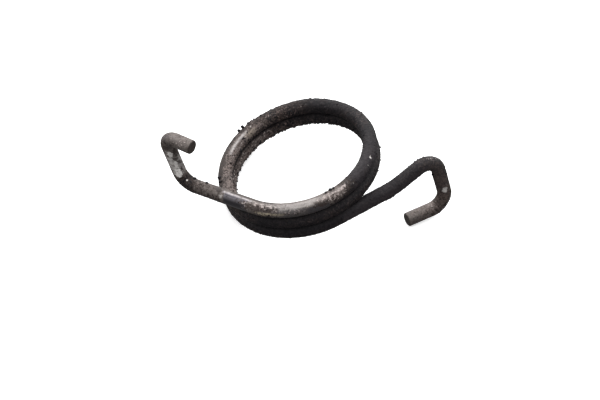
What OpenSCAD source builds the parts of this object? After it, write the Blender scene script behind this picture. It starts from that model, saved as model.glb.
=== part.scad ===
// Torsion spring: one round wire wound left-handed into a close coil of just over two turns.
// Each end leaves the coil as a leg and is bent back on itself into a square hook, whose short
// tang catches in a hole of the lever or bracket that the spring works on.
// The spring lies as it comes to rest on a flat floor: on its lowest turn and its lower tang.

/* [Wire] */
// Diameter of the wire
wire_d = 4; // [3.2:0.1:4.8]
// Chamfer left round each cut end
end_chamfer = 0.2; // [0.1:0.05:0.5]

/* [Coil] */
// Clear bore, the arbor that the coil slips over
bore_d = 38; // [31:0.5:46]
// Turns from one leg to the other
turns = 2.17; // [1.8:0.01:2.7]
// Daylight between neighbouring turns
turn_gap = 0.1; // [0.05:0.01:1]

/* [Upper hook] */
// Leg, from the coil to the corner of its first bend
upper_leg = 24; // [18:0.1:32]
// Upright, corner to corner
upper_rise = 18.6; // [15:0.1:23]
// Tang, from its corner to the cut end
upper_tang = 9.5; // [7.9:0.1:12]
// Angle that the tang is bent past square
upper_overbend = 9; // [0:0.5:15]
// Centre-line radius of the bend at the foot of the upright
upper_foot_r = 4.5; // [3.5:0.1:6]
// Centre-line radius of the bend at its head
upper_head_r = 3.5; // [2.8:0.1:4.3]

/* [Lower hook] */
// Leg, from the coil to the corner of its lift
lower_leg = 18; // [14:0.1:24]
// Lifted stretch, corner to corner
lower_ramp = 14.2; // [11:0.1:18]
// Slope of the lifted stretch above the plane of the coil
lower_slope = 14; // [8:0.5:20]
// Drop to the tang, corner to corner
lower_drop = 19.2; // [16:0.1:24]
// Tang, from its corner to the cut end
lower_tang = 13.1; // [10.5:0.1:17]
// Angle that the tang is bent past square
lower_overbend = 8.5; // [0:0.5:15]
// Centre-line radius of the lift
lower_lift_r = 19; // [12:0.5:25]
// Centre-line radius of the bend at the head of the drop
lower_head_r = 4.5; // [3.5:0.1:5.5]
// Centre-line radius of the bend at its foot
lower_foot_r = 4.6; // [3.5:0.1:5.5]

/* [Hidden] */
$fn = 48;
steel = "#4b4644";

coil_r = (bore_d + wire_d) / 2;
pitch = wire_d + turn_gap;
coil_bends = 2 * ceil(turns * 3) + 1;
bend_step = turns * 360 / coil_bends;
corner_r = coil_r / cos(bend_step / 2);

function unit(v) = v / norm(v);

// Direction at an angle round the coil's axis and a slope above the plane of the coil
function heading(turn, slope) = [cos(slope) * cos(turn), cos(slope) * sin(turn), sin(slope)];

// The helix is a run of tangent arcs. Each arc rounds one corner of a polyline that winds round
// the coil, and the arcs meet on the helix halfway between the corners.
function coil_corner(k) =
    let(turn = (k + 0.5) * bend_step)
    [corner_r * cos(turn), corner_r * sin(turn), -pitch * turn / 360];
coil_corners = [for (k = [0:coil_bends - 1]) coil_corner(k)];
coil_edge = coil_corner(1) - coil_corner(0);
coil_bend = acos(unit(coil_edge) * unit(coil_corner(2) - coil_corner(1)));
coil_bend_r = norm(coil_edge) / 2 / tan(coil_bend / 2);

// Corners of the two hooks. Both hooks lie flat in the plane of their leg and the coil's axis.
upper_out = unit(coil_corner(-1) - coil_corner(0));
upper_turn = atan2(upper_out.y, upper_out.x);
upper_start = (coil_corner(-1) + coil_corner(0)) / 2;
upper_foot = upper_start + upper_leg * upper_out;
upper_head = upper_foot + [0, 0, upper_rise];
upper_tip = upper_head - upper_tang * heading(upper_turn, upper_overbend);

lower_out = unit(coil_corner(coil_bends) - coil_corner(coil_bends - 1));
lower_turn = atan2(lower_out.y, lower_out.x);
lower_start = (coil_corner(coil_bends) + coil_corner(coil_bends - 1)) / 2;
lower_lift = lower_start + lower_leg * lower_out;
lower_head = lower_lift + lower_ramp * heading(lower_turn, lower_slope);
lower_foot = lower_head - [0, 0, lower_drop];
lower_tip = lower_foot - lower_tang * heading(lower_turn, -lower_overbend);

// The whole wire, from tip to tip: its corners, and the radius that rounds each one
corners = [
    upper_tip, upper_head, upper_foot,
    each coil_corners,
    lower_lift, lower_head, lower_foot, lower_tip
];
radii = [
    0, upper_head_r, upper_foot_r,
    each [for (c = coil_corners) coil_bend_r],
    lower_lift_r, lower_head_r, lower_foot_r, 0
];
last = len(corners) - 1;
coil_first = 2;
coil_last = coil_first + coil_bends - 1;

// One bend: [centre, direction to its start, direction of travel there, radius, angle]
function bend(path, k) =
    let(p = path[k],
        u = unit(p - path[k - 1]),
        v = unit(path[k + 1] - p),
        angle = acos(u * v),
        inward = unit(v - (u * v) * u),
        start = p - radii[k] * tan(angle / 2) * u)
    [start + radii[k] * inward, -inward, u, radii[k], angle];
function along(b, angle) = b[0] + b[3] * (cos(angle) * b[1] + sin(angle) * b[2]);

// Rest. The floor touches the end of the lower tang and runs tangent under the last turn of the
// coil, at the place on it that lets the mass centre come lowest.
trail = [
    upper_tip,
    each [for (k = [1:last - 1], b = [bend(corners, k)], part = [0:0.25:1]) along(b, part * b[4])],
    lower_tip
];
runs = [for (i = [1:len(trail) - 1]) norm(trail[i] - trail[i - 1])];
middles = [for (i = [1:len(trail) - 1]) (trail[i] + trail[i - 1]) / 2];
mass_centre = runs * middles / (runs * [for (run = runs) 1]);
function floor_normal(turn) =
    let(contact = [coil_r * cos(turn), coil_r * sin(turn), -pitch * turn / 360],
        slope = [-sin(turn), cos(turn), -pitch / (2 * PI * coil_r)],
        normal = unit(cross(slope, lower_tip - contact)))
    normal.z < 0 ? -normal : normal;
function height(normal) = mass_centre * normal - min([for (p = trail) p * normal]);
floors = [for (turn = [turns * 360 - 360:0.5:turns * 360]) floor_normal(turn)];
heights = [for (normal = floors) height(normal)];
up = floors[search(min(heights), heights)[0]];
span = lower_head - upper_head;
rest_x = unit(span - (span * up) * up);
rest_y = cross(up, rest_x);
function turned(p) = [p * rest_x, p * rest_y, p * up];
turned_trail = [for (p = trail) turned(p)];
function lowest(i) = min([for (p = turned_trail) p[i]]);
function highest(i) = max([for (p = turned_trail) p[i]]);
shift = [-(lowest(0) + highest(0)) / 2, -(lowest(1) + highest(1)) / 2, wire_d / 2 - lowest(2)];
laid = [for (p = corners) turned(p) + shift];
bends = [for (k = [1:last - 1]) bend(laid, k)];

// Neighbouring pieces of the wire differ by a hair in diameter, and the thinner one runs a little
// way into the thicker, so that they join cleanly into one solid. Every second bend of the coil
// is a thick one, and so is every straight.
join_step = 0.06;
join_lap = 0.05;

module placed(origin, x, y) {
    z = cross(x, y);
    rows = [for (i = [0:2]) [x[i], y[i], z[i], origin[i]]];
    multmatrix([each rows, [0, 0, 0, 1]]) children();
}

module bent_wire(b, thick) {
    lap = thick ? 0 : asin(join_lap / b[3]);
    placed(b[0], b[1], b[2])
        rotate(-lap)
            rotate_extrude(angle = b[4] + 2 * lap)
                translate([b[3], 0])
                    circle(d = wire_d - (thick ? 0 : join_step));
}

// Straight wire between two points. Where it is cut off, its far edge is chamfered.
module straight_wire(from, to, chamfer = 0) {
    run = to - from;
    length = norm(run);
    r = wire_d / 2;
    translate(from)
        rotate([0, acos(run.z / length), atan2(run.y, run.x)])
            rotate_extrude()
                polygon([[0, 0], [r, 0], [r, length - chamfer], [r - chamfer, length], [0, length]]);
}

module spring()
    color(steel) {
        for (k = [0:len(bends) - 1])
            bent_wire(bends[k], thick = k >= coil_first && k <= coil_last && (k - coil_first) % 2 == 1);
        for (k = [1:len(bends) - 1])
            if (k <= coil_first || k > coil_last)
                straight_wire(along(bends[k - 1], bends[k - 1][4]), along(bends[k], 0));
        straight_wire(along(bends[0], 0), laid[0], end_chamfer);
        straight_wire(along(bends[len(bends) - 1], bends[len(bends) - 1][4]), laid[last], end_chamfer);
    }

spring();
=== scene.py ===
import math

import bmesh
import bpy
import numpy as np
from mathutils import Matrix, Vector, noise


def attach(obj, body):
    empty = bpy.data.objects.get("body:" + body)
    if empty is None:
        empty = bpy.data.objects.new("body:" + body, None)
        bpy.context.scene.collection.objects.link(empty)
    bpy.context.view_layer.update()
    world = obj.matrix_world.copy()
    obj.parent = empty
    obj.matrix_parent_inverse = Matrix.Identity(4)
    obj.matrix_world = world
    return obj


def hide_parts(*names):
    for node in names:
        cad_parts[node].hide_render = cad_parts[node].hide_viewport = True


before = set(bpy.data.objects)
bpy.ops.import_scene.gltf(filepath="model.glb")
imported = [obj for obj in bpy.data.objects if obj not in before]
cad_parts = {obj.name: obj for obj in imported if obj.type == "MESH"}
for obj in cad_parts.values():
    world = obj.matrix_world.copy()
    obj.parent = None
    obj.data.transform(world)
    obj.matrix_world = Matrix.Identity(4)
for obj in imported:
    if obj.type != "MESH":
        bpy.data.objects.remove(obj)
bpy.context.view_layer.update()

# Spring. One length of round spring wire, wound cold and left-handed into a close coil of just
# over two turns. Each end runs off as a leg, is bent back into a square hook and is sheared off.
# Old oil and dust are baked on to it as a black crust, worn through to grey steel where it rubs.

# Sizes in millimetres. The hooks' lengths run from corner to corner, and their radii are to the
# centre line.
MM = 0.001
WIRE_D = 4.0
BORE_D = 38.0
TURNS = 2.17
TURN_GAP = 0.1
END_CHAMFER = 0.2
UPPER = dict(leg=24.0, rise=18.6, tang=9.5, overbend=9.0, foot_r=4.5, head_r=3.5)
LOWER = dict(leg=18.0, ramp=14.2, slope=14.0, drop=19.2, tang=13.1, overbend=8.5,
             lift_r=19.0, head_r=4.5, foot_r=4.6)

# The mesh: the radii of the rings across a cut end, the points round the wire, the length of one
# face along it, and the depth of the deepest pit.
END_RINGS = (1.55, 1.3, 1.05, 0.8, 0.55, 0.3)
ROUND = 56
CELL = 0.229
PIT = 0.05

wire_r = WIRE_D / 2
coil_r = (BORE_D + WIRE_D) / 2
pitch = WIRE_D + TURN_GAP
wound = TURNS * 2 * math.pi


def coil_point(turn):
    """A point of the wire's centre line, at an angle round the coil's axis in radians."""
    return Vector((coil_r * math.cos(turn), coil_r * math.sin(turn), -pitch * turn / (2 * math.pi)))


def coil_travel(turn):
    """The direction in which the wire runs at an angle round the coil's axis."""
    return Vector((-math.sin(turn), math.cos(turn), -pitch / (2 * math.pi * coil_r))).normalized()


def sloped(flat, degrees):
    """A level direction tipped up by some degrees."""
    level = Vector((flat.x, flat.y, 0)).normalized()
    return math.cos(math.radians(degrees)) * level + Vector((0, 0, math.sin(math.radians(degrees))))


# Each hook is a run of corners from the coil to the tip, and each corner has its bend's radius.
out = -coil_travel(0)
foot = coil_point(0) + UPPER["leg"] * out
head = foot + Vector((0, 0, UPPER["rise"]))
tip = head - UPPER["tang"] * sloped(out, UPPER["overbend"])
upper_hook = [coil_point(0), foot, head, tip]
upper_radii = [0, UPPER["foot_r"], UPPER["head_r"], 0]

out = coil_travel(wound)
lift = coil_point(wound) + LOWER["leg"] * out
head = lift + LOWER["ramp"] * sloped(out, LOWER["slope"])
foot = head - Vector((0, 0, LOWER["drop"]))
tip = foot - LOWER["tang"] * sloped(out, -LOWER["overbend"])
lower_hook = [coil_point(wound), lift, head, foot, tip]
lower_radii = [0, LOWER["lift_r"], LOWER["head_r"], LOWER["foot_r"], 0]


def bend(path, radii, k):
    """One bend: its centre, the direction to its start, the direction of travel there, its angle."""
    u = (path[k] - path[k - 1]).normalized()
    v = (path[k + 1] - path[k]).normalized()
    angle = u.angle(v)
    inward = (v - v.dot(u) * u).normalized()
    start = path[k] - radii[k] * math.tan(angle / 2) * u
    return start + radii[k] * inward, -inward, u, angle


def on_bend(path, radii, k, part):
    """A point of a bend's centre line, from 0 at its start to 1 at its end."""
    centre, side, travel, angle = bend(path, radii, k)
    return centre + radii[k] * (math.cos(part * angle) * side + math.sin(part * angle) * travel)


def rounded(path, radii, step):
    """Points along a hook's centre line, from the coil to its tip."""
    points = [path[0]]
    for k in range(1, len(path) - 1):
        parts = max(2, round(radii[k] * bend(path, radii, k)[3] / step))
        points += [on_bend(path, radii, k, i / parts) for i in range(parts + 1)]
    return [*points, path[-1]]


# The wire is swept at the depth of its deepest pit, and its relief is raised afterwards: a ring is
# screwed round the coil's axis, then drawn out along each leg and spun round each bend.
core_r = wire_r - PIT
bpy.ops.object.select_all(action="DESELECT")
bpy.ops.mesh.primitive_circle_add(
    vertices=ROUND, radius=core_r * MM, fill_type="NOTHING", location=coil_point(0) * MM,
    rotation=coil_travel(0).to_track_quat("Z", "X").to_euler())
wire = bpy.context.object
wire.name = "spring_wire"
bpy.ops.object.transform_apply(location=True, rotation=True, scale=True)
screw = wire.modifiers.new("coil", "SCREW")
screw.axis = "Z"
screw.angle = wound
screw.screw_offset = -pitch * TURNS * MM
screw.steps = screw.render_steps = round(coil_r * wound / CELL)
screw.use_merge_vertices = False
bpy.ops.object.modifier_apply(modifier=screw.name)
coil_verts, coil_faces = len(wire.data.vertices), len(wire.data.polygons)


def draw_out(path, radii):
    """Draws the selected end ring out along a hook, and closes the wire with a cut end."""
    here = path[0]
    for k in range(1, len(path)):
        u = (path[k] - path[k - 1]).normalized()
        end = k == len(path) - 1
        stop = path[k] - END_CHAMFER * u if end else on_bend(path, radii, k, 0)
        steps = round((stop - here).length / CELL)
        bpy.ops.mesh.extrude_repeat(steps=steps, offset=(stop - here) / steps * MM)
        if not end:
            centre, side, travel, angle = bend(path, radii, k)
            steps = round(radii[k] * angle / CELL)
            bpy.ops.mesh.spin(steps=steps, angle=-angle, center=centre * MM, axis=side.cross(travel))
            here = on_bend(path, radii, k, 1)
    bpy.ops.mesh.extrude_region_move(TRANSFORM_OT_translate={"value": u * END_CHAMFER * MM})
    size = core_r
    for smaller in (core_r - END_CHAMFER, *END_RINGS):
        if size < core_r:
            bpy.ops.mesh.extrude_region_move()
        bpy.ops.transform.resize(value=[smaller / size] * 3, center_override=path[-1] * MM)
        size = smaller
    bpy.ops.mesh.extrude_region_move()
    bpy.ops.mesh.merge(type="CENTER")


ends = [(range(ROUND), upper_hook, upper_radii),
        (range(coil_verts - ROUND, coil_verts), lower_hook, lower_radii)]
for ring, path, radii in ends:
    for v in wire.data.vertices:
        v.select = v.index in ring
    bpy.ops.object.mode_set(mode="EDIT")
    draw_out(path, radii)
    bpy.ops.mesh.select_all(action="DESELECT")
    bpy.ops.object.mode_set(mode="OBJECT")
bpy.ops.object.mode_set(mode="EDIT")
bpy.ops.mesh.select_mode(type="VERT")
bpy.ops.mesh.select_all(action="SELECT")
bpy.ops.mesh.normals_make_consistent(inside=False)
bpy.ops.object.mode_set(mode="OBJECT")

# Extruding leaves the hooks' faces in an order that changes from run to run, and the crumbs are
# scattered face by face. So these faces are put in the order of their points.
shape = bmesh.new()
shape.from_mesh(wire.data)
ordered = sorted(shape.faces, key=lambda face: (
    min(face.index, coil_faces), *(v.index for v in face.verts)))
for place, face in enumerate(ordered):
    face.index = place
shape.faces.sort()
shape.to_mesh(wire.data)
shape.free()

# Where each point of the surface is on the wire: millimetres along it from the upper tip, and
# degrees round it, from the outside of the coil (0) over its top (90) to its inside (180).
TRACE = 0.5
COIL_POINTS = 600
turns = [coil_point(wound * i / COIL_POINTS) for i in range(COIL_POINTS + 1)]
lead = rounded(upper_hook, upper_radii, TRACE)[::-1]
trail = np.array([*lead, *turns[1:], *rounded(lower_hook, lower_radii, TRACE)[1:]])
reach = np.r_[0, np.cumsum(np.linalg.norm(np.diff(trail, axis=0), axis=1))]
coil_from = reach[len(lead) - 1]
coil_to = reach[len(lead) + len(turns) - 2]
marks = np.arange(0, reach[-1], TRACE)
line = np.stack([np.interp(marks, reach, trail[:, i]) for i in range(3)], 1)
travels = np.gradient(line, axis=0)
travels /= np.linalg.norm(travels, axis=1)[:, None]
outward = np.cross(travels, (0, 0, 1))
outward[marks < coil_from] = (upper_hook[0] - upper_hook[1]).cross((0, 0, 1))
outward[marks > coil_to] = (lower_hook[1] - lower_hook[0]).cross((0, 0, 1))
outward -= (outward * travels).sum(1)[:, None] * travels
outward /= np.linalg.norm(outward, axis=1)[:, None]
upward = np.cross(outward, travels)

# The nearest point of the centre line, and the room left to the next turn, which lies more than
# APART along the wire. They are worked out a block of points at a time, to save memory.
APART = 30.0
FAR = 3 * WIRE_D
BLOCK = 4096
spots = np.empty(3 * len(wire.data.vertices), np.float32)
wire.data.vertices.foreach_get("co", spots)
spots = spots.reshape(-1, 3) / MM
nearest = np.empty(len(spots), int)
room = np.empty(len(spots))
for start in range(0, len(spots), BLOCK):
    some = slice(start, start + BLOCK)
    away = ((spots[some, None] - line) ** 2).sum(2)
    nearest[some] = away.argmin(1)
    away[abs(marks[nearest[some], None] - marks) < APART] = FAR ** 2
    room[some] = np.sqrt(away.min(1)) - wire_r
off = spots - line[nearest]
along = marks[nearest] + (off * travels[nearest]).sum(1)
around = np.degrees(np.arctan2((off * upward[nearest]).sum(1), (off * outward[nearest]).sum(1)))
wire_end = reach[-1]

# The spring lies at rest: the floor touches the end of the lower tang and runs tangent under the
# last turn, at the place that lets the mass centre come lowest.
FLOOR_TRIES = 720
mass_centre = Vector(line.mean(0))
lower_tip = lower_hook[-1]


def floor_normal(turn):
    """Upward normal of the plane through the lower tip that runs tangent under the last turn."""
    normal = coil_travel(turn).cross(lower_tip - coil_point(turn)).normalized()
    return -normal if normal.z < 0 else normal


def height(normal):
    """How high the mass centre lies over the floor with this normal."""
    return mass_centre.dot(normal) - (line @ np.array(normal)).min()


last_turn = [wound - 2 * math.pi * i / FLOOR_TRIES for i in range(FLOOR_TRIES + 1)]
up = min((floor_normal(turn) for turn in last_turn), key=height)
span = lower_hook[2] - upper_hook[2]
rest_x = (span - span.dot(up) * up).normalized()
rest = Matrix((rest_x, up.cross(rest_x), up))
laid = line @ np.array(rest).T
middle = (laid.max(0) + laid.min(0)) / 2
shift = Vector((-middle[0], -middle[1], wire_r - laid[:, 2].min()))

# Masks over the surface, from 0 to 1, say where there is crust, sand and dust, and where the steel
# is bare, brown, stained, flecked, pale, tan or rubbed bright. Some pale and rubbed places are painted
# highlights, some stained places painted dark reflections, and some of the dust painted light.
points = [Vector(p) for p in spots]


def fade(value, start, stop):
    """0 up to start, 1 from stop on, smooth between."""
    t = np.clip((value - start) / (stop - start), 0, 1)
    return t * t * (3 - 2 * t)


def cloud(size, seed, octaves=2):
    """Noise of about -1 to 1 whose swells are some millimetres across."""
    offset = Vector((7.7, 3.1, 5.3)) * seed
    return np.array([noise.fractal(p / size + offset, 0.8, 2.1, octaves) for p in points])


def lumps(size, seed, share):
    """Round lumps some millimetres across, 1 on top of one and 0 off it, in a share of the cells."""
    offset = Vector((5.1, 8.3, 2.9)) * seed
    tall = np.zeros(len(points))
    for i, p in enumerate(points):
        away, cells = noise.voronoi(p / size + offset)
        if away[0] < 0.5 and noise.cell(cells[0] * 3.7) < 2 * share - 1:
            tall[i] = 1 - (away[0] / 0.5) ** 2
    return tall


def dab(at, turned, half_length, half_degrees, soft=0.4):
    """An oval patch at some millimetres along the wire and degrees round it, with a ragged edge."""
    along_off = (along - at) / half_length
    round_off = ((around - turned + 180) % 360 - 180) / half_degrees
    return fade(1 - np.hypot(along_off, round_off) + ragged_edge, 0, soft)


ragged = cloud(0.9, 3, 3)
swell = cloud(3.0, 1)
grain = cloud(0.5, 2, 2)
ragged_edge = 0.4 * ragged + 0.3 * grain


def along_wire(*marks_and_shares):
    """Shares at places along the wire, on its upper side and elsewhere, with a soft ragged edge."""
    table = np.array(marks_and_shares)
    where = along + 1.2 * swell
    share = (np.interp(where, table[:, 0], table[:, 1]) * upper_side
             + np.interp(where, table[:, 0], table[:, 2]) * (1 - upper_side))
    return np.clip(share + 0.25 * ragged * fade(share, 0, 0.25) * fade(1 - share, -0.1, 0.2), 0, 1)


def stretch(start, stop, low, high, soft=0.5):
    """A stretch between two places along the wire and two angles round it, with a ragged edge."""
    mm_a_degree = math.radians(wire_r)
    inside = np.minimum.reduce([along - start, stop - along,
                                mm_a_degree * (around - low), mm_a_degree * (high - around)])
    return fade(inside + 0.5 * ragged_edge, 0, soft)


# The upper side of the wire. Both tangs run back under their own leg, so theirs is turned over.
UPPER_TURNED, LOWER_TURNED = 8.5, 9.5
tang = (marks[nearest] < UPPER_TURNED) | (marks[nearest] > wire_end - LOWER_TURNED)
upper_side = fade(np.cos(np.radians(around - np.where(tang, -80, 85))), -0.05, 0.65)

# How much crust there is, and brown film on what is bare. Each mark is (millimetres along, share on
# the upper side, share elsewhere).
crust = along_wire(
    (0, 0, 0), (10, 0, 0), (21, 0.05, 0.1), (23.5, 0.5, 0.6), (27.5, 0.45, 0.6), (30, 0.15, 0.35),
    (38, 0.1, 0.3), (42, 0, 0.1), (50, 0, 0.3), (54, 0.2, 0.5), (60, 0.1, 0.3), (67, 0.1, 0.4),
    (73, 0.1, 0.5), (78, 0.6, 1), (81, 1, 1), (118, 1, 1), (126, 0.86, 0.9), (136, 0.6, 0.5),
    (144, 0.3, 0.3), (150, 0.25, 0.15), (168, 0.25, 0.15), (178, 0.9, 1), (186, 1, 1), (250, 1, 1),
    (263, 0.75, 0.5), (275, 0.5, 0.25), (290, 0.5, 0.25), (305, 1, 1), (350, 1, 1), (362, 1, 1),
    (371, 0.78, 0.85), (377, 0.5, 0.7), (382, 0.35, 0.55), (385, 0.1, 0.3), (388, 0, 0.1),
    (393, 0, 0.05))
brown = along_wire(
    (0, 0.4, 0.25), (4, 0.35, 0.2), (6, 0.5, 0.7), (10, 0.7, 0.8), (12, 0.1, 0.1), (20, 0.15, 0.2),
    (23, 1, 1), (29, 0.8, 1), (38, 0.6, 0.9), (41, 0.2, 0.6), (46, 0, 0.4), (51, 0.6, 0.8),
    (58, 0.35, 0.3), (66, 0.25, 0.3), (70, 0.7, 0.6), (76, 1, 1), (120, 1, 1), (145, 0.9, 1),
    (150, 0.8, 1), (160, 1, 1), (366, 1, 1), (384, 0.8, 0.9), (388, 0.4, 0.7), (393, 0.35, 0.6))

# Scuffs, flecks and dark specks, and highlights painted among the scuffs. Each dab is (millimetres
# along, degrees round, half its length, half its degrees), and each stretch (from, to, lowest degrees,
# highest degrees).
mottles = fade(cloud(0.9, 9), -0.1, 0.35)
# The top of the front turn: steel polished by rubbing, with a highlight painted over it
polished_top_and_highlight = (stretch(50.5, 70.0, 52, 108, 0.6) * fade(along + 1.5 * ragged, 52, 59)
                * fade(along + 1.5 * ragged, 71, 66))
# Painted highlights among the scuffs: the front turn's top (the first two terms) and the stretch from
# 144.5 to 152.5 mm on the first turn
scuffs_and_highlights = np.maximum.reduce([
    0.06 * polished_top_and_highlight, 0.22 * stretch(56.5, 66.0, 38, 70, 0.5),
    0.75 * dab(12.9, 35, 1.4, 22, 0.2), 0.75 * dab(17.1, 46, 1.9, 16, 0.2),
    dab(20.6, 40, 1.7, 29, 0.2), (0.3 - 0.3 * mottles) * dab(18.0, 85, 4.2, 45),
    (0.55 - 0.3 * mottles) * dab(17.0, 15, 5.0, 42), dab(25.1, 68, 0.4, 9, 0.2),
    0.3 * dab(38.5, 47, 0.6, 20, 0.3), 0.08 * dab(55.5, 82, 5.0, 34, 0.8),
    0.35 * dab(141.6, 109, 0.5, 8, 0.3), 0.75 * dab(86.8, 43, 0.3, 8, 0.2),
    0.6 * dab(87.2, 51, 0.22, 6, 0.2), 0.55 * dab(84.3, 34, 0.34, 9, 0.2),
    0.28 * dab(96.0, 127, 0.5, 9, 0.3), 0.6 * dab(88.4, 14, 0.2, 6, 0.2),
    0.3 * dab(77.4, 35, 0.2, 5, 0.2),
    0.66 * dab(375.8, -14, 1.2, 28, 0.3), 0.3 * dab(374.4, 8, 1.0, 12, 0.3),
    0.2 * dab(363.9, 82, 2.2, 28, 0.6), 0.12 * dab(360.5, 75, 1.5, 22),
    0.19 * stretch(144.5, 152.5, 93, 129, 0.8), 0.07 * dab(192.6, 12, 2.0, 14, 0.8)])
flecks = np.maximum.reduce([
    0.48 * dab(52.0, 75, 6.5, 55, 0.8), 0.55 * dab(69.5, 62, 3.5, 32, 0.7),
    0.65 * dab(74.0, 58, 3.2, 30, 0.7), 0.55 * dab(71.5, 30, 5.0, 45, 0.8),
    0.5 * dab(60.5, 16, 6.0, 24, 0.8), 0.45 * dab(46.5, 40, 2.5, 50, 0.8),
    0.4 * stretch(54, 65, 12, 68, 0.8), 0.4 * stretch(124, 137, 92, 158, 1.2),
    0.36 * stretch(142, 154, 92, 126, 1.0), 0.42 * stretch(137, 156, 118, 190, 1.0),
    0.36 * stretch(156, 173, 112, 215, 1.0), 0.38 * stretch(268, 296, 105, 215, 1.0),
    0.38 * dab(364.5, 78, 2.5, 24, 0.8), 0.4 * dab(385.0, -80, 5.0, 45, 0.8),
    0.3 * dab(17.0, 45, 6.0, 60, 0.8), 0.4 * dab(3.0, -45, 4.5, 60, 0.8)])
pepper = np.maximum.reduce([
    0.63 * dab(50.5, 50, 9.0, 46, 0.6), 0.55 * dab(148.5, 136, 6.5, 24, 0.8),
    0.7 * dab(69.0, 24, 6.0, 32, 0.7), 0.5 * dab(61.0, 12, 7.0, 30, 0.8)])

# Steel rubbed bright, with highlights painted on it; smeared tan; burnished dark (gloss); and stained,
# with dark reflections painted along two rims
# Rubbed steel with highlights painted on it: the streaks along the leg from 38.6 to 57 mm, the tang's
# top at 5 mm, the front turn's top, and the streak from 143 to 153.5 mm on the first turn
rubbed_and_highlight = np.maximum.reduce([
    0.75 * stretch(38.6, 48.8, 80, 107, 0.4), 0.25 * stretch(46.5, 57.0, 74, 112, 0.8),
    0.22 * dab(5.0, -72, 2.6, 40, 0.8), 0.5 * polished_top_and_highlight, 0.3 * stretch(66, 77, 50, 98, 0.9),
    0.22 * stretch(56, 63, 0, 54, 0.4), stretch(143.0, 153.5, 97, 140, 0.8)])
tan = np.maximum.reduce([
    dab(52.6, 11, 2.9, 17), 0.7 * dab(56.3, 10, 2.2, 13), 0.3 * dab(143.0, 150, 3.0, 40, 0.8)])
gloss = np.maximum.reduce([
    stretch(39.3, 43.6, -25, 108, 0.3), stretch(38.8, 44.5, -125, -5, 1.6),
    fade(stretch(41.0, 48.5, -150, 130, 3.5) + 0.4 * grain, 0.25, 0.45),
    0.8 * stretch(38.2, 48.4, 76, 104, 0.3), 0.45 * stretch(56.0, 64, -40, 52, 0.3),
    0.75 * stretch(63.5, 70.0, -40, 44, 0.5), 0.4 * dab(17.5, 92, 3.0, 30, 0.8),
    0.3 * dab(7.6, -62, 1.8, 40, 0.8), 0.4 * dab(36.3, 98, 0.9, 14)])
cut_end = fade(0.1 - np.minimum(along, wire_end - along), 0, 0.1)
# Painted dark reflections among the stains: the strip along the top of the leg from 40.5 to 55 mm and
# the dark outer rim of the first turn about 152 mm, where the steel would reflect the dim room
stain_and_dark_reflection = np.maximum.reduce([
    dab(13.2, 90, 2.2, 34, 0.3), 0.9 * dab(14.9, 45, 0.5, 20, 0.2),
    0.9 * dab(19.0, 66, 0.6, 18, 0.3), 0.5 * dab(9.6, 10, 1.2, 40),
    0.75 * dab(36.7, 95, 1.5, 20, 0.3), 0.95 * dab(152.0, 50, 20.0, 60, 0.4),
    0.4 * dab(47.5, 30, 2.8, 50, 0.8), 0.8 * stretch(40.5, 55.0, 98, 150, 0.5),
    0.5 * dab(37.7, 80, 0.8, 30, 0.5), 0.5 * stretch(39.8, 49.0, 38, 72, 0.6),
    0.6 * mottles * dab(17.5, 85, 5.5, 45, 0.8), 0.9 * dab(36.8, 84, 1.0, 20, 0.3),
    0.45 * stretch(381, 394, -50, 45, 1.0), 0.55 * dab(69.0, 24, 4.0, 24),
    (0.85 + 0.15 * fade(grain, 0.2, -0.2)) * cut_end])

# Sand baked into the crust, lumps on it, and dust over it, with light painted on the last leg and
# the lower hook
sand = along_wire(
    (0, 0, 0), (22, 0.2, 0.3), (45, 0, 0), (52, 0.3, 0.5), (73, 0.25, 0.2), (80, 0.06, 0.04),
    (98, 0.05, 0.05), (104, 0.22, 0.25), (112, 0.06, 0.06), (121, 0.08, 0.06), (126, 0.2, 0.4),
    (133, 0.6, 1), (150, 0.7, 1), (170, 0.7, 1), (182, 0, 0), (196, 0.14, 0.14), (235, 0.1, 0.2),
    (245, 0.06, 0.15), (257, 0.12, 0.3), (266, 0.6, 1), (295, 0.5, 1), (310, 0.05, 0.2),
    (330, 0, 0.1), (360, 0.1, 0.1), (373, 0.6, 0.7), (379, 0.85, 0.9), (393, 0.2, 0.2))
lumpy = along_wire(
    (0, 0, 0), (78, 0.1, 0.15), (105, 0.1, 0.2), (125, 1, 1), (150, 0.6, 1), (180, 0.5, 0.7),
    (226, 0.3, 0.4), (248, 0.5, 1), (300, 0.6, 1), (330, 0.3, 0.3), (393, 0.15, 0.2))
# Dust and painted light: the first two terms lighten the last leg and the lower hook, most on the outer
# side, to stand in for light falling there; the third is dust on the first turn's right side
dust_and_painted_light = np.maximum.reduce([
    (0.55 - 0.35 * fade(around, 0, 35)) * stretch(335, 381, -120, 150, 1.5),
    0.8 * fade(along + ragged, 369, 376) * fade(along + ragged, 390, 384),
    (0.3 + 0.25 * mottles) * fade(along + ragged, 74, 79) * fade(along + ragged, 96, 85)])

# The crust is gone where the steel is rubbed. In the crease between two turns it is unbroken and
# bare of sand and flecks, as painted shade.
worn_inside = np.maximum(stretch(136, 172, 112, 185, 1.0),
                         0.4 * stretch(266, 296, 115, 200, 1.0))
crust *= (1 - 0.95 * np.maximum(gloss, rubbed_and_highlight)) * (1 - scuffs_and_highlights) * (1 - 0.6 * worn_inside)
crust = np.maximum(crust, 0.34 * dab(54.0, 65, 5.5, 50, 0.8))
# Painted shade: the crease between two turns is made solid crust, without sand or flecks, to show black
painted_crease_shade = fade(room, 1.1, 0.4)
crust = np.maximum(crust, painted_crease_shade)
sand *= 1 - painted_crease_shade
flecks *= 1 - painted_crease_shade

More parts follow.
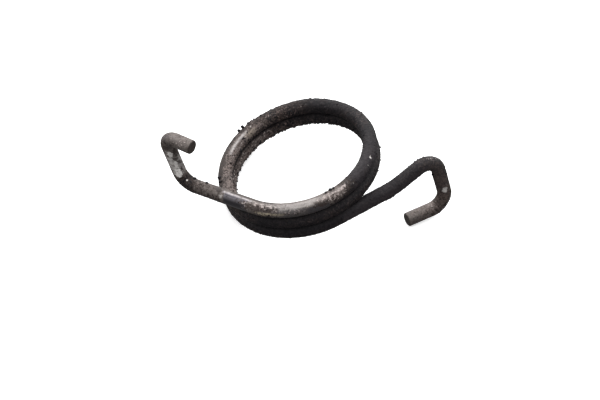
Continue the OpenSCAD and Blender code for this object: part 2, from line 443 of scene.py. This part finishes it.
# Crust is a skin of packed grains with lumps on it. It also fills the crease between two turns, up
# to a share FILL of the way across. No relief goes under the floor or rises more than MOST.
STEEL_GRAIN = 0.012
CRUST_DEPTH = 0.06
FILL = 0.9
MOST = 0.7
relief = STEEL_GRAIN * grain - PIT * lumps(0.8, 7, 0.3) * (1 - 0.7 * gloss)
relief += crust * (CRUST_DEPTH + 0.03 * swell + 0.05 * grain + 0.09 * lumps(0.75, 4, 0.55)
                   + lumpy * (0.18 * lumps(1.3, 5, 0.16) + 0.3 * lumps(2.1, 6, 0.035))
                   + 0.22 * dab(124, 55, 11, 70, 1.0) + 0.17 * dab(350.0, -55, 2.4, 60, 1.0))
half_room = np.maximum(FILL * (room + PIT) / 2, 0)
packed = fade(half_room, 0.42, 0.16) * fade(swell + 0.6 * ragged, -0.75, -0.2)
raised = np.maximum(PIT + relief, packed * half_room)
raised = np.minimum(raised, half_room)
radial = off - (off * travels[nearest]).sum(1)[:, None] * travels[nearest]
radial /= np.maximum(np.linalg.norm(radial, axis=1), 0.01)[:, None]
above_floor = spots @ np.array(up) + shift.z
raised = np.clip(np.minimum(raised, above_floor / np.clip(-radial @ np.array(up), 0.05, 1)), 0, None)
group = wire.vertex_groups.new(name="raised")
for i, r in enumerate(raised):
    group.add([i], min(r / MOST, 1), "REPLACE")
relief_of_wire = wire.modifiers.new("relief", "DISPLACE")
relief_of_wire.strength = MOST * MM
relief_of_wire.mid_level = 0
relief_of_wire.vertex_group = group.name
bpy.ops.object.modifier_apply(modifier=relief_of_wire.name)
wire.vertex_groups.clear()

# Where crumbs cling: on the inside of the coil, in the creases and at two places on the first turn
inner_side = fade(-np.cos(np.radians(around - 20)), 0.1, 0.8)
crumbed = np.maximum.reduce([
    inner_side * fade(along, 230, 250) * fade(along, 305, 285),
    0.7 * inner_side * fade(along, 122, 132) * fade(along, 172, 165),
    0.7 * dab(71.5, 108, 4.0, 18), 0.5 * dab(140.0, 60, 9.0, 40), 0.05 * crust, 0.25 * packed])
crumbed *= fade(above_floor, 0.5, 1.2) * fade(dust_and_painted_light, 0.4, 0.15)
masks = {"crumbed": crumbed, "crust": crust, "scuffs_and_highlights": scuffs_and_highlights, "tan": tan, "gloss": gloss, "stain_and_dark_reflection": stain_and_dark_reflection,
         "sand": sand, "brown": brown, "rubbed_and_highlight": rubbed_and_highlight, "flecks": flecks, "pepper": pepper, "dust_and_painted_light": dust_and_painted_light}
for name, mask in masks.items():
    wire.data.attributes.new(name, "FLOAT", "POINT").data.foreach_set("value", mask.astype(np.float32))

# The spring is laid at rest.
wire.matrix_world = Matrix.Translation(shift * MM) @ rest.to_4x4()
bpy.ops.object.transform_apply(location=True, rotation=True, scale=True)
bpy.ops.object.shade_smooth_by_angle(angle=math.radians(60))


# Worn spring steel: grey metal in grains of light and dark, pale where it is scuffed, bright where it
# is rubbed smooth, brown where it is stained, and matt black wherever the crust is left. Highlights are
# painted in pale and bright, dark reflections along two rims, and light on the last leg and lower hook.
class Finish:
    """A material whose nodes are added one by one, each input a number, a colour or another output."""

    def __init__(self, name):
        self.material = bpy.data.materials.new(name)
        self.material.use_nodes = True
        self.nodes = self.material.node_tree.nodes
        self.surface = self.nodes["Principled BSDF"].inputs
        self.place = self.nodes.new("ShaderNodeTexCoord").outputs["Object"]

    def add(self, kind, inputs, output=0, **settings):
        """Adds a node and gives one of its outputs."""
        node = self.nodes.new("ShaderNode" + kind)
        for name, value in settings.items():
            setattr(node, name, value)
        for name, value in inputs.items():
            self.set(node.inputs[name], value)
        return node.outputs[output]

    def set(self, socket, value):
        if isinstance(value, bpy.types.NodeSocket):
            self.material.node_tree.links.new(value, socket)
        else:
            socket.default_value = value

    def noise(self, size, detail=3.0, roughness=0.55):
        """Noise of 0 to 1 whose swells are some millimetres across."""
        return self.add("TexNoise", {"Vector": self.place, "Scale": 1 / (size * MM),
                                     "Detail": detail, "Roughness": roughness})

    def step(self, value, start, stop):
        """0 up to start, 1 from stop on."""
        return self.add("MapRange", {"Value": value, "From Min": start, "From Max": stop})

    def times(self, a, b):
        return self.add("Math", {0: a, 1: b}, operation="MULTIPLY")

    def plus(self, a, b):
        return self.add("Math", {0: a, 1: b}, operation="ADD")

    def colour(self, part, a, b):
        """Colour a where part is 0, b where it is 1."""
        return self.add("Mix", {0: part, 6: (*a, 1) if isinstance(a, tuple) else a,
                                7: (*b, 1) if isinstance(b, tuple) else b}, 2, data_type="RGBA")

    def number(self, part, a, b):
        """Number a where part is 0, b where it is 1."""
        return self.add("Mix", {0: part, 2: a, 3: b}, 0, data_type="FLOAT")

    def mask(self, name):
        """A mask that was written to the mesh."""
        return self.add("Attribute", {}, "Fac", attribute_name=name)

    def broken_up(self, name, grains, spread):
        """A mask broken up by grains of noise, the more so the wider their spread."""
        return self.plus(self.mask(name), self.times(self.plus(grains, -0.5), spread))

    def bump(self, distance, layers):
        """Raised noise: each layer is (height from 0 to 1, how much of it)."""
        total = 0.0
        for height, share in layers:
            total = self.plus(total, self.times(height, share))
        self.set(self.surface["Normal"], self.add("Bump", {"Distance": distance * MM, "Height": total}))


SOOT, THIN_SOOT = (0.0033, 0.0027, 0.0039), (0.0085, 0.007, 0.0088)
BAKED_OIL = (0.044, 0.031, 0.027)
SAND_GRAIN = (0.168, 0.126, 0.114)


def baked_grime(finish, sand):
    """Colour of the crust: sooty black to dark brown, with grains of pale sand in a share of it."""
    soot = finish.colour(finish.step(finish.noise(1.0, 3, 0.6), 0.4, 0.6), SOOT, THIN_SOOT)
    brown = finish.times(finish.step(finish.noise(3.2), 0.45, 0.6), sand)
    soot = finish.colour(brown, soot, BAKED_OIL)
    grains = finish.times(sand, finish.step(finish.noise(0.5, 2, 0.75), 0.53, 0.62))
    return finish.colour(grains, soot, SAND_GRAIN)


DARK_STEEL, LIGHT_STEEL = (0.094, 0.08, 0.074), (0.175, 0.154, 0.144)
BROWN_FILM, SANDY_FILM, FILM_SPECK = (0.12, 0.1, 0.092), (0.24, 0.193, 0.178), (0.026, 0.0195, 0.017)
# The second colour is rubbed steel, also used for painted highlights
RUBBED, POLISHED_AND_HIGHLIGHT = (0.1, 0.094, 0.104), (0.265, 0.245, 0.242)
# The first colour is stain, also used for painted dark reflections
STAIN_AND_DARK_REFLECTION, PEPPERED = (0.022, 0.016, 0.014), (0.04, 0.029, 0.025)
# The second colour is scuffs, also the near-white of painted highlights
FLECK, SCUFF_AND_HIGHLIGHT, TAN_SMEAR = (0.33, 0.286, 0.272), (0.88, 0.85, 0.82), (0.45, 0.39, 0.29)
# Dust colours, also used for light painted on the last leg and the lower hook
SOOTY_DUST_AND_LIGHT, SANDY_DUST_AND_LIGHT = (0.03, 0.0255, 0.03), (0.092, 0.071, 0.061)

worn = Finish("worn_spring_steel")
fine, medium = worn.noise(0.35, 3, 0.7), worn.noise(1.4, 3, 0.6)
salt = worn.noise(0.65, 3, 0.75)
speckle = worn.step(salt, 0.44, 0.57)
black = worn.step(worn.broken_up("crust", salt, 2.6), 0.4, 0.6)
metal = worn.colour(worn.step(fine, 0.4, 0.6), DARK_STEEL, LIGHT_STEEL)
film = worn.colour(worn.mask("sand"), BROWN_FILM, SANDY_FILM)
film = worn.colour(speckle, FILM_SPECK, film)
metal = worn.colour(worn.step(worn.broken_up("brown", medium, 1.6), 0.2, 0.8), metal, film)
metal = worn.colour(worn.mask("gloss"), metal, RUBBED)
# Rubbed steel, lighter and smoother, and the highlights painted on it
polished_and_highlight = worn.times(worn.mask("rubbed_and_highlight"), worn.number(speckle, 0.7, 1.0))
metal = worn.colour(polished_and_highlight, metal, POLISHED_AND_HIGHLIGHT)
# Stains, and the dark reflections painted along two rims
metal = worn.colour(worn.times(worn.mask("stain_and_dark_reflection"), 0.9), metal, STAIN_AND_DARK_REFLECTION)
flecked = worn.step(worn.broken_up("flecks", salt, -2.2), 0.5, 0.62)
metal = worn.colour(flecked, metal, FLECK)
peppered = worn.step(worn.broken_up("pepper", salt, 2.2), 0.5, 0.62)
metal = worn.colour(worn.times(peppered, 0.85), metal, PEPPERED)
# Scuffs, and highlights painted in near-white
scuffed_and_highlit = worn.times(worn.mask("scuffs_and_highlights"), worn.number(speckle, 0.7, 1.0))
metal = worn.colour(scuffed_and_highlit, metal, SCUFF_AND_HIGHLIGHT)
smeared = worn.times(worn.mask("tan"), worn.step(fine, 0.36, 0.52))
metal = worn.colour(smeared, metal, TAN_SMEAR)
# Dust, and the light painted on the last leg and the lower hook
dusty_and_lit = worn.colour(worn.mask("sand"), SOOTY_DUST_AND_LIGHT, SANDY_DUST_AND_LIGHT)
grime = worn.colour(worn.mask("dust_and_painted_light"), baked_grime(worn, worn.mask("sand")), dusty_and_lit)
worn.set(worn.surface["Base Color"], worn.colour(black, metal, grime))
bare = worn.number(scuffed_and_highlit, worn.number(worn.mask("gloss"), 0.4, 1.0), 0.1)
bare = worn.number(worn.mask("stain_and_dark_reflection"), bare, 0.0)
worn.set(worn.surface["Metallic"], worn.number(black, bare, 0.0))
rubbed = worn.number(polished_and_highlight, worn.number(fine, 0.45, 0.65), 0.36)
rubbed = worn.number(worn.mask("gloss"), rubbed, 0.3)
worn.set(worn.surface["Roughness"], worn.number(black, rubbed, worn.number(salt, 0.45, 0.75)))
worn.surface["Specular IOR Level"].default_value = 0.2
smooth = worn.number(worn.mask("gloss"), worn.number(polished_and_highlight, 0.5, 0.2), 0.06)
worn.bump(0.15, [(fine, worn.number(black, smooth, 1.0)), (salt, worn.number(black, smooth, 1.5))])
wire.data.materials.append(worn.material)

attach(wire, "root")
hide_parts("spring")

# Grime. Crumbs of baked oil and dust that cling to the crust, thickest on the inside of the coil.
# They are one rough grain, scattered over the crust in many sizes and half sunk in it.
CRUMBS_A_MM2 = 1.3
SMALLEST, LARGEST = 0.2, 0.85

bpy.ops.object.select_all(action="DESELECT")
bpy.ops.mesh.primitive_ico_sphere_add(subdivisions=1, radius=0.5 * MM)
grain_shape = bpy.context.object
bpy.ops.object.mode_set(mode="EDIT")
bpy.ops.transform.vertex_random(offset=0.12 * MM, seed=5)
bpy.ops.object.mode_set(mode="OBJECT")

bpy.ops.object.select_all(action="DESELECT")
wire.select_set(True)
bpy.context.view_layer.objects.active = wire
bpy.ops.object.duplicate()
crumbs = bpy.context.object
crumbs.name = "grime_crumbs"
scatter = bpy.data.node_groups.new("scatter", "GeometryNodeTree")
scatter.interface.new_socket("Surface", in_out="INPUT", socket_type="NodeSocketGeometry")
scatter.interface.new_socket("Crumbs", in_out="OUTPUT", socket_type="NodeSocketGeometry")
step = {kind: scatter.nodes.new(kind) for kind in (
    "NodeGroupInput", "NodeGroupOutput", "GeometryNodeInputNamedAttribute", "ShaderNodeMath",
    "GeometryNodeDistributePointsOnFaces", "GeometryNodeObjectInfo", "FunctionNodeRandomValue",
    "GeometryNodeInstanceOnPoints", "GeometryNodeRealizeInstances")}
spin = scatter.nodes.new("FunctionNodeRandomValue")
spin.data_type = "FLOAT_VECTOR"
spin.inputs["Max"].default_value = (2 * math.pi,) * 3
step["GeometryNodeInputNamedAttribute"].inputs["Name"].default_value = "crumbed"
step["ShaderNodeMath"].operation = "MULTIPLY"
step["ShaderNodeMath"].inputs[1].default_value = CRUMBS_A_MM2 / MM ** 2
step["GeometryNodeDistributePointsOnFaces"].inputs["Seed"].default_value = 11
step["GeometryNodeObjectInfo"].inputs["Object"].default_value = grain_shape
crumb_size = step["FunctionNodeRandomValue"]
crumb_size.data_type = "FLOAT_VECTOR"
crumb_size.inputs["Min"].default_value = (SMALLEST,) * 3
crumb_size.inputs["Max"].default_value = (LARGEST,) * 3
for source, output, target, entry in (
        ("NodeGroupInput", 0, "GeometryNodeDistributePointsOnFaces", "Mesh"),
        ("GeometryNodeInputNamedAttribute", 0, "ShaderNodeMath", 0),
        ("ShaderNodeMath", 0, "GeometryNodeDistributePointsOnFaces", "Density"),
        ("GeometryNodeDistributePointsOnFaces", "Points", "GeometryNodeInstanceOnPoints", "Points"),
        ("GeometryNodeObjectInfo", "Geometry", "GeometryNodeInstanceOnPoints", "Instance"),
        ("FunctionNodeRandomValue", "Value", "GeometryNodeInstanceOnPoints", "Scale"),
        ("GeometryNodeInstanceOnPoints", 0, "GeometryNodeRealizeInstances", 0),
        ("GeometryNodeRealizeInstances", 0, "NodeGroupOutput", 0)):
    scatter.links.new(step[source].outputs[output], step[target].inputs[entry])
scatter.links.new(spin.outputs["Value"], step["GeometryNodeInstanceOnPoints"].inputs["Rotation"])
scattered = crumbs.modifiers.new("scatter", "NODES")
scattered.node_group = scatter
bpy.ops.object.modifier_apply(modifier=scattered.name)
bpy.data.objects.remove(grain_shape)


def on_wire(at, turned, proud):
    """A point some millimetres along the wire and degrees round it, and proud of its surface."""
    i = round(at / TRACE)
    side = (math.cos(math.radians(turned)) * outward[i] + math.sin(math.radians(turned)) * upward[i])
    return (rest @ Vector(line[i] + (wire_r + proud) * side) + shift) * MM


# The large ones: two pairs that stand off the coil, and single ones at the bends and in the creases.
# Each is (millimetres along, degrees round, how far its centre is proud, how far across it is).
big_crumbs = [
    (143.1, 57, -0.05, 0.7), (143.1, 58, 0.4, 1.05), (144.4, 57, -0.05, 0.6), (144.5, 56, 0.35, 0.9),
    (27.3, 120, 0.05, 1.0), (31.9, 122, -0.05, 0.95), (70.0, 106, 0.0, 0.75), (71.5, 110, 0.05, 1.0),
    (72.4, 107, 0.0, 0.8), (161.6, 50, 0.05, 1.2), (163.1, 48, 0.0, 0.9), (222.9, -2, 0.05, 0.6),
    (369.3, -80, 0.1, 0.8), (370.6, -84, 0.05, 0.6), (141.2, 52, 0.05, 0.9), (139.0, 40, 0.0, 0.7),
    (149.5, 185, 0.1, 0.8), (262.5, 165, 0.15, 0.8), (273.0, 172, 0.0, 0.6)]
pieces = [crumbs]
for at, turned, proud, across in big_crumbs:
    bpy.ops.mesh.primitive_ico_sphere_add(subdivisions=3, radius=across / 2 * MM,
                                          location=on_wire(at, turned, proud))
    bpy.ops.object.transform_apply(location=True)
    bpy.ops.object.mode_set(mode="EDIT")
    bpy.ops.transform.vertex_random(offset=0.06 * MM, seed=round(at * 10))
    bpy.ops.mesh.vertices_smooth(factor=0.4)
    bpy.ops.object.mode_set(mode="OBJECT")
    pieces.append(bpy.context.object)
for piece in pieces:
    piece.select_set(True)
bpy.context.view_layer.objects.active = crumbs
bpy.ops.object.join()
bpy.ops.object.shade_smooth_by_angle(angle=math.radians(50))

soot = Finish("baked_grime")
soot.set(soot.surface["Base Color"], baked_grime(soot, soot.mask("sand")))
soot.set(soot.surface["Roughness"], soot.number(soot.noise(0.5), 0.5, 0.8))
soot.surface["Specular IOR Level"].default_value = 0.25
soot.bump(0.08, [(soot.noise(0.25, 3, 0.7), 1.0)])
crumbs.data.materials.clear()
crumbs.data.materials.append(soot.material)
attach(crumbs, "root")

# Studio. A plain pale floor under a large soft light that hangs overhead and a little behind, with
# the room dim in front, and the camera above the front of the floor.
FLOOR_GLOW = 0.45
bpy.ops.mesh.primitive_plane_add(size=8)
floor = bpy.context.object
floor.name = "floor"
pale_floor = Finish("pale_floor")
shade = pale_floor.add("TexNoise", {"Vector": pale_floor.place, "Scale": 3.0})
pale_floor.set(pale_floor.surface["Base Color"],
               pale_floor.colour(shade, (0.9, 0.9, 0.9), (0.93, 0.93, 0.93)))
pale_floor.surface["Emission Color"].default_value = (1, 1, 1, 1)
pale_floor.surface["Emission Strength"].default_value = FLOOR_GLOW
pale_floor.surface["Roughness"].default_value = 0.9
pale_floor.surface["Specular IOR Level"].default_value = 0.2
floor.data.materials.append(pale_floor.material)
floor.visible_diffuse = False
floor.visible_glossy = False

LIGHT_FROM = Vector((-0.12, 0.6, 0.78))
world = bpy.data.worlds.new("studio")
bpy.context.scene.world = world
world.use_nodes = True
sky = world.node_tree
direction = sky.nodes.new("ShaderNodeTexCoord").outputs["Generated"]
toward_light = sky.nodes.new("ShaderNodeVectorMath")
toward_light.operation = "DOT_PRODUCT"
toward_light.inputs[1].default_value = LIGHT_FROM.normalized()
glow = sky.nodes.new("ShaderNodeMapRange")
glow.interpolation_type = "SMOOTHSTEP"
for name, value in (("From Min", -0.25), ("From Max", 0.95), ("To Min", 0.2), ("To Max", 2.5)):
    glow.inputs[name].default_value = value
sky.links.new(direction, toward_light.inputs[0])
sky.links.new(toward_light.outputs["Value"], glow.inputs["Value"])
sky.links.new(glow.outputs["Result"], sky.nodes["Background"].inputs["Strength"])
sky.nodes["Background"].inputs["Color"].default_value = (1, 1, 1, 1)


def softbox(name, place, size, power):
    """A square soft light that faces the spring."""
    bpy.ops.object.light_add(type="AREA", location=place)
    light = bpy.context.object
    light.name = name
    light.data.size = size
    light.data.energy = power
    light.rotation_euler = (Vector((0, 0, 0.01)) - Vector(place)).to_track_quat("-Z", "Y").to_euler()
    return light


softbox("overhead", (-0.12, 0.42, 0.5), 0.35, 1.3)
softbox("front_fill", (-0.15, -0.65, 0.15), 0.5, 1.2).visible_glossy = False

AZIMUTH, ELEVATION, ROLL = (math.radians(a) for a in (-3.44, 49.17, 5.08))
AIM = Vector((0, 0, 12)) * MM
FROM_AIM = Vector((-2.07, -10.12, 480.76)) * MM
LENS, SENSOR = 103.6, 36
back = Vector((math.sin(AZIMUTH) * math.cos(ELEVATION), -math.cos(AZIMUTH) * math.cos(ELEVATION),
               math.sin(ELEVATION)))
right = Vector((math.cos(AZIMUTH), math.sin(AZIMUTH), 0))
above = back.cross(right)
view = Matrix((right, above, back)).transposed() @ Matrix.Rotation(ROLL, 3, "Z")
bpy.ops.object.camera_add()
camera = bpy.context.object
camera.data.lens = LENS
camera.data.sensor_width = SENSOR
camera.matrix_world = Matrix.Translation(AIM + view @ FROM_AIM) @ view.to_4x4()
bpy.context.scene.camera = camera
bpy.context.scene.view_settings.view_transform = "Standard"
